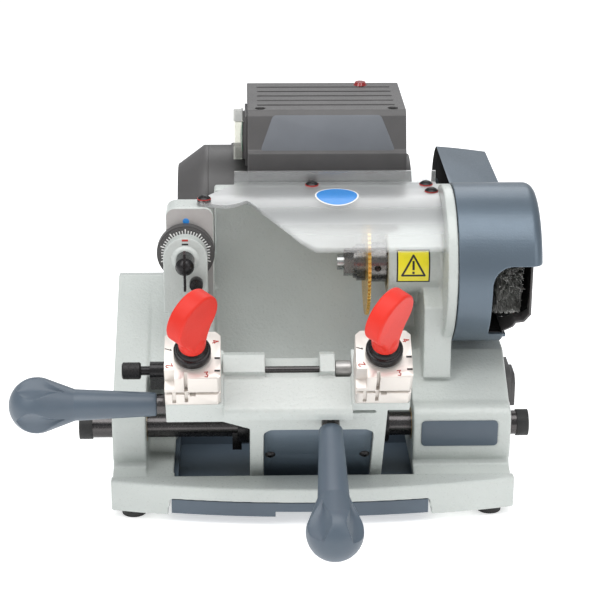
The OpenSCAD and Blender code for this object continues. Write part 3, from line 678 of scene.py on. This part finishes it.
def jaw_marks(side):
    jaw_x = (joint_point("wing_%s_turn" % side).x - SHAFT.x) / mm

    def on_jaw(x, y):
        return carriage_frame(carriage_point(jaw_x + x, JAW_MID_Y + y, JAW_TOP))

    red, black = [], []
    for x, y, turn, numeral in NUMERALS:
        place = (on_jaw(x, y) @ Matrix.Rotation(math.radians(turn), 4, "Z")
                 @ Matrix.Scale(GLYPH_SCALE, 4))
        ink = black if numeral == "1" else red
        ink += glyph(place, GLYPHS[numeral])
    for y in (-2.6, -13.2):
        black.append(box(on_jaw(17.2, y), -1.9, 2.0, -0.8, 0.8, -0.3, 0.05))
    make("numerals_red_" + side, join(red), "red_ink", "jaw_" + side)
    make("numerals_black_" + side, join(black), "black_ink", "jaw_" + side)


for side in SIDES:
    jaw_marks(side)

# ---------------------------------------------------------------- warning label
BOSS_R = 23.0           # boss around the spindle
LABEL_X = 76            # label's middle, mm right of the shaft joint
LABEL_ANGLE = 11        # its middle, degrees above the boss's frontmost line


def boss_point(x, radius, angle):
    """Point around the spindle; the angle in radians rises from the front."""
    return Vector((SHAFT.x + x * mm, SPINDLE.y - radius * mm * math.cos(angle),
                   SPINDLE.z + radius * mm * math.sin(angle)))


def curved_label(name, half_width, half_angle, lift, material, steps=24):
    vertices, faces = [], []
    for k in range(steps + 1):
        angle = math.radians(LABEL_ANGLE - half_angle + 2 * half_angle * k / steps)
        vertices += [boss_point(LABEL_X + x, radius, angle)
                     for radius in (BOSS_R - 0.3, BOSS_R + lift)
                     for x in (-half_width, half_width)]
    for k in range(steps):
        a, b = 4 * k, 4 * k + 4
        faces += [[a + 2, a + 3, b + 3, b + 2], [a, b, b + 1, a + 1],
                  [a, a + 2, b + 2, b], [a + 1, b + 1, b + 3, a + 3]]
    last = 4 * steps
    faces += [[0, 1, 3, 2], [last, last + 2, last + 3, last + 1]]
    make(name, (vertices, faces), material, "frame", smooth_angle=50)


def sign_strip(points, half_width, steps=6):
    """Flat strokes on the boss; x, z from the label's middle, z along the arc."""
    def on_label(x, z):
        return boss_point(LABEL_X + x, BOSS_R + 0.42, math.radians(LABEL_ANGLE) + z / BOSS_R)

    vertices, faces = [], []
    for (x0, z0), (x1, z1) in zip(points, points[1:]):
        dx, dz = x1 - x0, z1 - z0
        length = math.hypot(dx, dz)
        nx, nz = -dz / length * half_width, dx / length * half_width
        ex, ez = dx / length * half_width * 0.6, dz / length * half_width * 0.6
        start = len(vertices)
        for i in range(steps + 1):
            x = x0 - ex + (dx + 2 * ex) * i / steps
            z = z0 - ez + (dz + 2 * ez) * i / steps
            vertices += [on_label(x + nx, z + nz), on_label(x - nx, z - nz)]
        for a in range(start, start + 2 * steps, 2):
            faces.append([a, a + 1, a + 3, a + 2])
    return vertices, faces


curved_label("label_border", half_width=12.5, half_angle=32, lift=0.22, material="black_ink")
curved_label("label_yellow", half_width=11.4, half_angle=29.2, lift=0.32,
             material="yellow_label")
# Triangle, then the bar and dot of the exclamation mark
make("label_sign", join([sign_strip([(-8.5, -7), (8.5, -7), (0, 8.2), (-8.5, -7)], 0.75),
                         sign_strip([(0, 3.6), (0, -2.2)], 0.85),
                         sign_strip([(0, -4.4), (0, -5.2)], 0.85)]),
     "black_ink", "frame", smooth_angle=50)


# ---------------------------------------------------------------- control box label
def round_corners(corners, radius, steps=6):
    """Replaces each corner by a quadratic curve."""
    points = []
    for i, corner in enumerate(corners):
        before, after = corners[i - 1], corners[(i + 1) % len(corners)]
        start = corner + (before - corner).normalized() * radius * mm
        end = corner + (after - corner).normalized() * radius * mm
        for k in range(steps + 1):
            t = k / steps
            points.append(start * (1 - t) ** 2 + corner * 2 * t * (1 - t) + end * t * t)
    return points


def box_label(thickness=0.35):
    bottom, top = machine_point(0, 61.0, 228), machine_point(0, 70.0, 253)
    corners = []
    # x in mm, share of the way up the sloping face
    for x, share in ((-37, -0.02), (68, -0.02), (57, 1.02), (-27, 1.02)):
        point = bottom.lerp(top, share)
        corners.append(Vector((SHAFT.x + x * mm, point.y, point.z)))
    outline = round_corners(corners, radius=3)
    rise = Vector((0, -0.94, 0.34)).normalized() * thickness * mm
    vertices = [p - rise * 0.6 for p in outline] + [p + rise for p in outline]
    make("box_label", (vertices, prism_faces(len(outline))), "panel_label", "frame",
         bevel=0.15)


box_label()

# ---------------------------------------------------------------- round shield label
SHIELD_R = 75           # the shield bends down in front of the bend's centre
SHIELD_BEND_Y, SHIELD_BEND_Z = 10, 133.5


def shield_point(x, y):
    z = SHIELD_BEND_Z + SHIELD_R
    if y <= SHIELD_BEND_Y:
        z = SHIELD_BEND_Z + math.sqrt(SHIELD_R ** 2 - (y - SHIELD_BEND_Y) ** 2)
    return machine_point(x, y, z + 0.12)


def disc_label(name, radius, material, lift, rings=8, n=48):
    top = []
    for k in range(rings + 1):
        r = radius * k / rings
        for i in range(n):
            a = 2 * math.pi * i / n
            point = shield_point(20 + r * math.cos(a), 6 + r * math.sin(a))
            top.append(point + Vector((0, 0, lift * mm)))
    under = [v - Vector((0, 0, (lift + 0.10) * mm)) for v in top]
    m = len(top)
    faces = tube_faces(rings + 1, n)
    faces += [[m + i for i in face][::-1] for face in faces]
    edge = rings * n
    for i in range(n):
        j = (i + 1) % n
        faces.append([edge + i, edge + j, m + edge + j, m + edge + i])
    make(name, (top + under, faces), material, "frame", smooth_angle=60)


disc_label("blue_label_rim", radius=16.6, material="white_ink", lift=0.10)
disc_label("blue_label", radius=15.4, material="blue_label", lift=0.22)

# ---------------------------------------------------------------- wire brush
BRISTLES = 1500
BRISTLE_STEPS = 5
BRISTLE_ROOT_R = 15.0
BRISTLE_TIP_R = (37.6, 39.9)
BRISTLE_HALF_THICK = 0.34 * mm
# radius, x from the brush's left end
BRUSH_HUB = [(7.6, 0), (15, 0), (15, 2.8), (19, 3.4), (19, 18.6), (15, 19.6), (15, 23),
             (7.6, 23)]


def bristles_mesh(left, right):
    """Wavy three-sided wires around the spindle, between two x places in m."""
    draw = random.Random(3).uniform
    vertices, faces = [], []
    for _ in range(BRISTLES):
        angle = draw(0, 2 * math.pi)
        middle_x = draw(left + 0.6 * mm, right - 0.6 * mm)
        tip = draw(*BRISTLE_TIP_R)
        phase = draw(0, 6.28)
        base = len(vertices)
        for s in range(BRISTLE_STEPS + 1):
            r = (BRISTLE_ROOT_R + (tip - BRISTLE_ROOT_R) * s / BRISTLE_STEPS) * mm
            a = angle + 0.020 * math.sin(phase + s * 2.3)
            sway = 0.9 * mm * math.sin(phase * 1.7 + s * 2.1)
            cos_a, sin_a = math.cos(a), math.sin(a)
            for q in range(3):
                t = q * 2.094  # a third of a turn
                across = BRISTLE_HALF_THICK * math.sin(t)
                x = middle_x + sway + BRISTLE_HALF_THICK * math.cos(t)
                vertices.append(Vector((min(max(x, left), right),
                                        SPINDLE.y + r * cos_a - across * sin_a,
                                        SPINDLE.z + r * sin_a + across * cos_a)))
        for s in range(BRISTLE_STEPS):
            for q in range(3):
                i = base + 3 * s + q
                j = base + 3 * s + (q + 1) % 3
                faces.append([i, j, j + 3, i + 3])
        end = base + 3 * BRISTLE_STEPS
        faces += [[base, base + 2, base + 1], [end, end + 1, end + 2]]
    return vertices, faces


low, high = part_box("wire_brush")
make("wire_brush_bristles", bristles_mesh(low.x + 3.0 * mm, high.x - 2.0 * mm),
     "brush_wire", "spindle", smooth_angle=0)
make("wire_brush_hub", lathe(right_frame((low.x, SPINDLE.y, SPINDLE.z)), BRUSH_HUB, 48),
     "bright_steel", "spindle", replaces=("wire_brush",))

# ---------------------------------------------------------------- painted shade inside the brush guard
# Near-black boxes and a wall inside the brush guard: painted shade where its inside lies in shadow
# x0, x1, y0, y1, z0, z1 in machine mm
GUARD_SHADE_BOXES = [(130.2, 141.6, -40, -8, 115.8, 118.4), (130.2, 161.0, -10, 8, 115.8, 118.4),
                (158.6, 161.2, -12, -9, 118.4, 173), (130.2, 137.0, -16.5, -13.2, 118.4, 172)]
GUARD_SHADE_WALL = [(-51, 134), (-6, 117.5), (-6, 173), (-51, 173)]  # y, z
guard_shade_pieces = []
for x0, x1, y0, y1, z0, z1 in GUARD_SHADE_BOXES:
    low, high = machine_point(x0, y0, z0), machine_point(x1, y1, z1)
    guard_shade_pieces.append(box(Matrix.Translation(low), 0, (high.x - low.x) / mm,
                      0, (high.y - low.y) / mm, 0, (high.z - low.z) / mm))
wall = [machine_point(x, y, z) for x in (160.9, 162.3) for y, z in GUARD_SHADE_WALL]
guard_shade_pieces.append((wall, prism_faces(4)))
make("guard_painted_shade", join(guard_shade_pieces), "painted_shade_black", "frame")

# ---------------------------------------------------------------- gauge knob
KNOB_LENGTH = 13.5
KNOB_STEM = [(2.6, 13.45), (3.3, 13.5), (3.3, 19.8), (2.6, 19.8)]  # radius, x


def knurl_mesh(place, n=96, steps=44):
    """Cylinder with two crossing helical waves and eased ends."""
    vertices = []
    for k in range(steps + 1):
        x = KNOB_LENGTH * k / steps
        edge = min(1, min(x, KNOB_LENGTH - x) / 0.9)
        for i in range(n):
            a = 2 * math.pi * i / n
            waves = abs(math.sin(12 * a + x * 1.6)) + abs(math.sin(12 * a - x * 1.6))
            r = 5.9 + (0.28 * waves - 0.28) * edge - 0.8 * (1 - edge)
            vertices.append(place @ Vector((r * mm * math.cos(a), r * mm * math.sin(a),
                                            x * mm)))
    return vertices, solid_faces(steps + 1, n)


gauge_joint = joint_point("gauge_turn")
place = right_frame((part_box("gauge_knob")[0].x, gauge_joint.y, gauge_joint.z))
make("gauge_knob_knurl", join([knurl_mesh(place), lathe(place, KNOB_STEM, 32)]),
     "black_oxide", "gauge", smooth_angle=45, replaces=("gauge_knob",))


# ---------------------------------------------------------------- stage (metres)
def add_floor(half=6.0, z=-0.0002):
    data = bpy.data.meshes.new("floor")
    data.from_pydata([(-half, -half, z), (half, -half, z), (half, half, z), (-half, half, z)],
                     [], [[0, 1, 2, 3]])
    obj = bpy.data.objects.new("floor", data)
    bpy.context.scene.collection.objects.link(obj)
    material, tree, bsdf = new_material("floor_paint")
    cloud = noise(tree, object_coords(tree), scale=2.0, detail=3)
    base = colour_ramp(tree, cloud, low=(0.90, 0.90, 0.90), high=(0.93, 0.93, 0.93))
    set_inputs(tree, bsdf, Base_Color=base, Roughness=0.7, Emission_Color=(1, 1, 1, 1),
               Emission_Strength=0.5)
    data.materials.append(material)


def area_light(name, place, target, width, height, power):
    light = bpy.data.lights.new(name, "AREA")
    light.shape = "RECTANGLE"
    light.size = width
    light.size_y = height
    light.energy = power
    obj = bpy.data.objects.new(name, light)
    bpy.context.scene.collection.objects.link(obj)
    aim = (Vector(target) - Vector(place)).to_track_quat("-Z", "Y")
    obj.matrix_world = Matrix.Translation(place) @ aim.to_matrix().to_4x4()


add_floor()
area_light("top", (-0.05, -0.42, 1.55), (0, 0, 0.15), width=1.9, height=1.0, power=19)
area_light("key", (-1.0, -0.9, 1.1), (0, 0, 0.1), width=0.8, height=0.8, power=5.0)
area_light("fill", (1.1, -0.9, 0.8), (0, 0, 0.12), width=0.7, height=0.7, power=2.6)
area_light("back", (0.2, 1.2, 1.2), (0, 0, 0.15), width=0.9, height=0.9, power=5.0)

world = bpy.data.worlds.new("world")
bpy.context.scene.world = world
world.use_nodes = True
set_inputs(world.node_tree, world.node_tree.nodes["Background"],
           Color=(0.96, 0.98, 1.0, 1), Strength=0.50)

# ---------------------------------------------------------------- camera (metres)
CAMERA_TILT = math.radians(21)
CAMERA_YAW = math.radians(1.9)
CAMERA_ROLL = math.radians(0.3)
CAMERA_DISTANCE = 1.400
CAMERA_SHIFT_LEFT, CAMERA_SHIFT_DOWN = 0.05, 0.028787879


def yawed(x, y, z):
    return Vector((x * math.cos(CAMERA_YAW) + y * math.sin(CAMERA_YAW),
                   -x * math.sin(CAMERA_YAW) + y * math.cos(CAMERA_YAW), z))


def add_camera():
    forward = yawed(0, math.cos(CAMERA_TILT), -math.sin(CAMERA_TILT))
    level = yawed(1, 0, 0)
    upright = yawed(0, math.sin(CAMERA_TILT), math.cos(CAMERA_TILT))
    right = level * math.cos(CAMERA_ROLL) + upright * math.sin(CAMERA_ROLL)
    up = -level * math.sin(CAMERA_ROLL) + upright * math.cos(CAMERA_ROLL)
    target = Vector((SHAFT.x + 0.042, SPINDLE.y, SPINDLE.z))
    place = (target - forward * CAMERA_DISTANCE - right * CAMERA_SHIFT_LEFT
             - up * CAMERA_SHIFT_DOWN)
    data = bpy.data.cameras.new("camera")
    camera = bpy.data.objects.new("camera", data)
    bpy.context.scene.collection.objects.link(camera)
    data.sensor_width = 36
    data.lens = 110.88
    data.clip_start = 0.01
    data.clip_end = 50
    camera.matrix_world = matrix_of(place, right, up, -forward)
    bpy.context.scene.camera = camera


add_camera()
bpy.context.scene.view_settings.view_transform = "Standard"
bpy.context.scene.view_settings.exposure = 0.0

bpy.context.view_layer.update()
